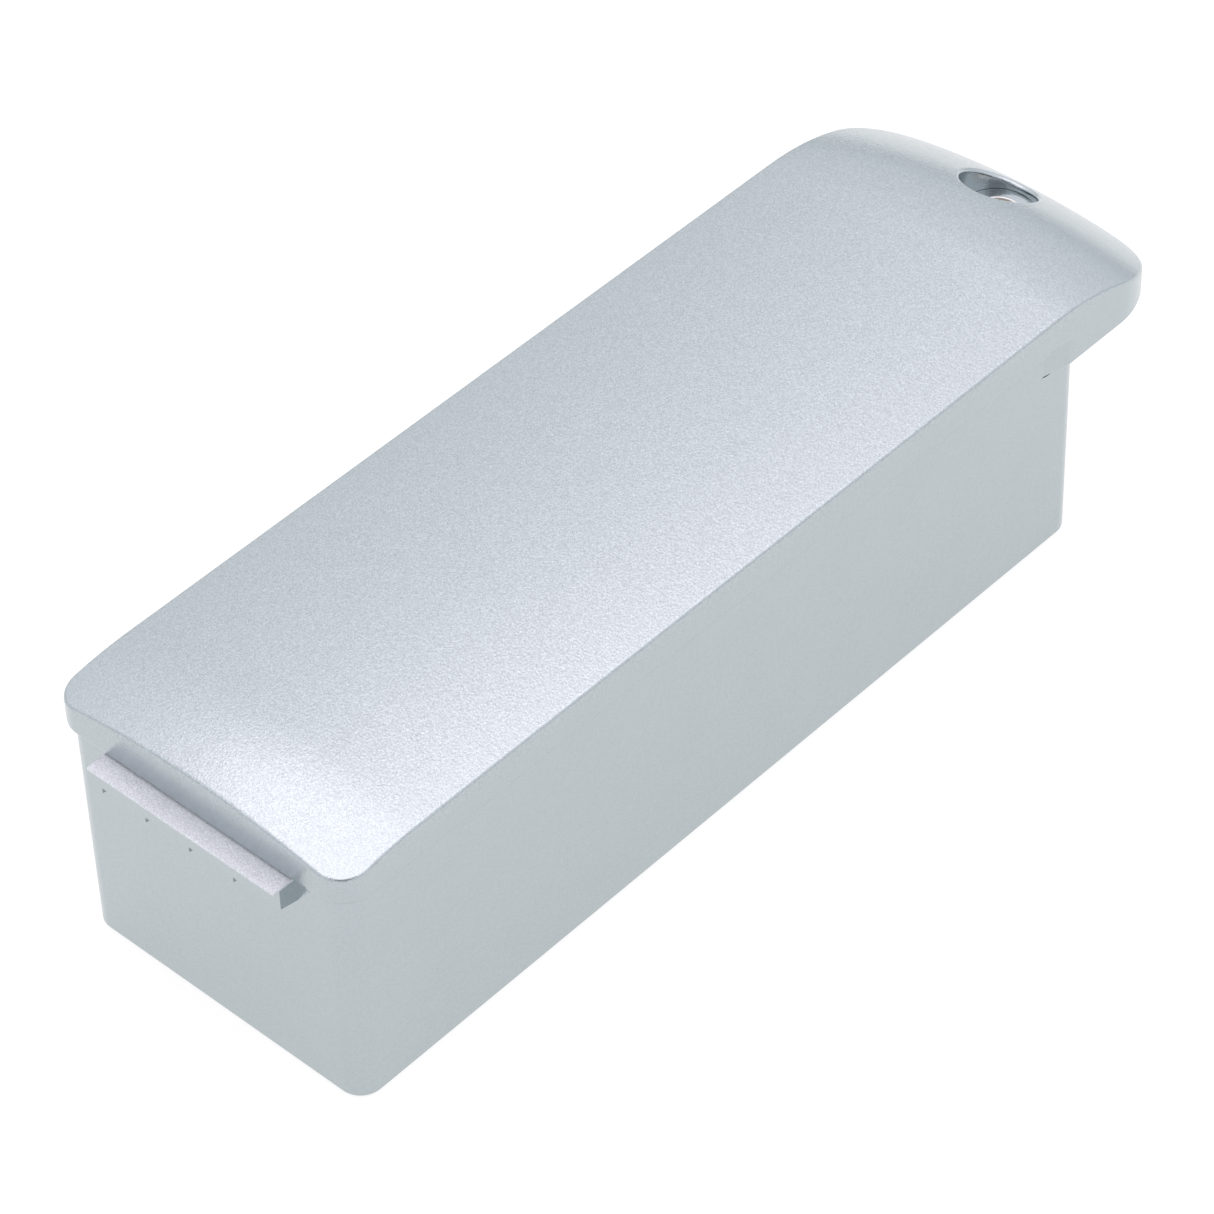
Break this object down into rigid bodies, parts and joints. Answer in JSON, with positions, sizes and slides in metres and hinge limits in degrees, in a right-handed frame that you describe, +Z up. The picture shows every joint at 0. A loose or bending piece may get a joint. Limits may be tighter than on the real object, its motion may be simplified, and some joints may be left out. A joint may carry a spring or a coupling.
{
  "type": "rechargeable battery pack",
  "caption": "Silver rechargeable battery pack: a deep tub and a crowned cover with a nose that is fixed by one screw, and a hook tongue at the other end.",
  "frame": {"origin": "middle of the footprint box, on the plane that the tub's underside stands on", "axes": "+Z up, +X towards the nose with the screw hole, +Y to the left seen from the tail"},
  "size_m": [0.1642, 0.0506, 0.0439],
  "materials": {
    "silver_paint": "fine metallic silver paint over a spark-textured moulding",
    "sleeve_steel": "turned and plated",
    "cell_steel": "nickel-plated drawn can",
    "electrode": "wound foil",
    "wrap_film": "shrunk film",
    "fibre": "pressed fibre sheet",
    "bracket_plastic": "moulded, natural",
    "nickel": "rolled strip",
    "board_laminate": "solder-masked laminate",
    "chip_black": "moulded package",
    "resistor_body": "fired ceramic",
    "sensor_resin": "dipped resin",
    "contact_housing": "moulded, fine texture",
    "contact_gold": "gold-plated strip",
    "lead_black": "silicone insulation",
    "lead_red": "silicone insulation",
    "lead_white": "silicone insulation",
    "foam": "open-cell foam"
  },
  "bodies": {
    "root": {"cell_bracket_1": "bracket_plastic", "cell_bracket_2": "bracket_plastic", "cell_bracket_3": "bracket_plastic", "cell_bracket_4": "bracket_plastic", "cell_can_1": "cell_steel", "cell_can_2": "cell_steel", "cell_can_3": "cell_steel", "cell_can_4": "cell_steel", "cell_can_5": "cell_steel", "cell_can_6": "cell_steel", "cell_can_7": "cell_steel", "cell_can_8": "cell_steel", "cell_cap_1": "cell_steel", "cell_cap_2": "cell_steel", "cell_cap_3": "cell_steel", "cell_cap_4": "cell_steel", "cell_cap_5": "cell_steel", "cell_cap_6": "cell_steel", "cell_cap_7": "cell_steel", "cell_cap_8": "cell_steel", "cell_roll_1": "electrode", "cell_roll_2": "electrode", "cell_roll_3": "electrode", "cell_roll_4": "electrode", "cell_roll_5": "electrode", "cell_roll_6": "electrode", "cell_roll_7": "electrode", "cell_roll_8": "electrode", "cell_wrap_1": "wrap_film", "cell_wrap_2": "wrap_film", "cell_wrap_3": "wrap_film", "cell_wrap_4": "wrap_film", "cell_wrap_5": "wrap_film", "cell_wrap_6": "wrap_film", "cell_wrap_7": "wrap_film", "cell_wrap_8": "wrap_film", "circuit_board": "board_laminate", "contact_blades": "contact_gold", "contact_block": "contact_housing", "controller_chip": "chip_black", "cover": "silver_paint", "foam_pads": "foam", "insulating_rings": "fibre", "lead_cell_negative": "lead_black", "lead_cell_positive": "lead_red", "nickel_middle_lower": "nickel", "nickel_middle_upper": "nickel", "nickel_nose_lower": "nickel", "nickel_nose_upper": "nickel", "nickel_tail": "nickel", "output_leads": "lead_red", "power_transistors": "chip_black", "screw_sleeve": "sleeve_steel", "sense_leads": "lead_white", "sense_resistor": "resistor_body", "sheet_middle": "fibre", "sheet_nose": "fibre", "sheet_tail": "fibre", "thermistor": "sensor_resin", "tub": "silver_paint"}
  },
  "joints": []
}
